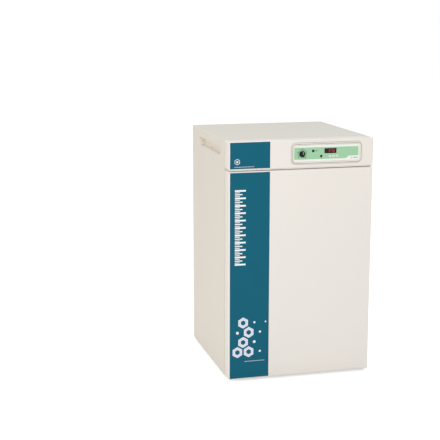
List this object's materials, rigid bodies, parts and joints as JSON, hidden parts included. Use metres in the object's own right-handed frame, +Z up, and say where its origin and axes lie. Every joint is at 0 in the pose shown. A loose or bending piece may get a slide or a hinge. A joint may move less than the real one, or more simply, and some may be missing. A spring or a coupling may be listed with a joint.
{
  "type": "laboratory incubator",
  "caption": "Free-standing insulated laboratory incubator with a hinged front door, an inner glass door, slotted shelves in a heated steel chamber and a control panel above the door.",
  "frame": {"origin": "on the floor under the middle of the bounding box", "axes": "+X to the right seen from the front, +Y from the front to the back, +Z up, which is the longest extent"},
  "size_m": [0.6, 0.6396, 0.984],
  "materials": {
    "enamel_case": "satin",
    "enamel_front": "satin",
    "galvanised": "satin",
    "mineral_wool": "matte",
    "stainless": "satin",
    "silicone_mat": "matte",
    "rubber_black": "matte",
    "zinc": "satin",
    "silicone_seal": "matte",
    "plastic_black": "satin",
    "film_teal": "satin",
    "plastic_cream": "satin",
    "overlay_green": "satin",
    "display_dark": "gloss",
    "board_green": "satin",
    "core_steel": "satin",
    "coil_tape": "satin",
    "aluminium": "satin",
    "lamp_dark": "gloss",
    "nylon": "satin",
    "foam": "matte",
    "gasket_grey": "matte",
    "glass": "polished",
    "plastic_white": "satin"
  },
  "bodies": {
    "cabinet": {"outer_case": "enamel_case", "grip_left": "enamel_case", "grip_right": "enamel_case", "front_frame": "enamel_case", "base_pan": "enamel_case", "back_panel": "enamel_case", "bay_floor": "galvanised", "case_insulation": "mineral_wool", "chamber_liner": "stainless", "heater_mats": "silicone_mat", "temperature_probe": "stainless", "shelf_uprights": "stainless", "shelf_runners": "stainless", "shelf_1": "stainless", "shelf_2": "stainless", "shelf_3": "stainless", "levelling_feet": "rubber_black", "hinge_lower": "zinc", "hinge_upper": "zinc", "glass_seal": "silicone_seal", "glass_brackets": "stainless", "glass_catch": "plastic_black", "fascia_panel": "enamel_front", "fascia_film": "film_teal", "control_bezel": "plastic_cream", "control_overlay": "overlay_green", "display_window": "display_dark", "display_module": "plastic_black", "control_board": "board_green", "board_standoffs": "zinc", "key_switches": "plastic_black", "thermostat": "zinc", "transformer_core": "core_steel", "transformer_coil": "coil_tape", "relay_sink": "aluminium", "relay_body": "plastic_black", "power_inlet": "plastic_black", "rocker_housing": "plastic_black", "lamp_1": "lamp_dark", "lamp_2": "lamp_dark"},
    "door": {"door_skin": "enamel_front", "door_liner": "enamel_front", "door_pivots": "nylon", "door_insulation": "foam", "door_gasket": "gasket_grey", "door_film": "film_teal"},
    "glass_door": {"glass_pane": "glass", "glass_clamps": "stainless", "glass_pull": "plastic_black", "glass_strike": "stainless"},
    "knob": {"knob_shaft": "zinc", "pointer_knob": "plastic_black"},
    "key_1": {"button_1": "plastic_white"},
    "key_2": {"button_2": "plastic_white"},
    "key_3": {"button_3": "plastic_white"},
    "mains_rocker": {"rocker": "plastic_black"}
  },
  "joints": [
    {"name": "door_swing", "type": "hinge", "parent": "cabinet", "child": "door", "pos_m": [0.286, -0.27355, 0.4395], "axis": [0, 0, 1], "range_deg": [0, 120]},
    {"name": "glass_door_swing", "type": "hinge", "parent": "cabinet", "child": "glass_door", "pos_m": [0.25, -0.24035, 0.4395], "axis": [0, 0, 1], "range_deg": [0, 90]},
    {"name": "limit_knob_turn", "type": "hinge", "parent": "cabinet", "child": "knob", "pos_m": [-0.0009, -0.30255, 0.926], "axis": [0, 1, 0], "range_deg": [-135, 135]},
    {"name": "key_1_press", "type": "slide", "parent": "cabinet", "child": "key_1", "axis": [0, 1, 0], "range_m": [0, 0.0015], "stiffness_N_per_m": 300},
    {"name": "key_2_press", "type": "slide", "parent": "cabinet", "child": "key_2", "axis": [0, 1, 0], "range_m": [0, 0.0015], "stiffness_N_per_m": 300},
    {"name": "key_3_press", "type": "slide", "parent": "cabinet", "child": "key_3", "axis": [0, 1, 0], "range_m": [0, 0.0015], "stiffness_N_per_m": 300},
    {"name": "mains_rocker_tilt", "type": "hinge", "parent": "cabinet", "child": "mains_rocker", "pos_m": [0.14, 0.31095, 0.9275], "axis": [1, 0, 0], "range_deg": [0, 24]}
  ],
  "couplings": [
    {"joint": "glass_door_swing", "follows": "door_swing", "ratio": 0.75}
  ]
}
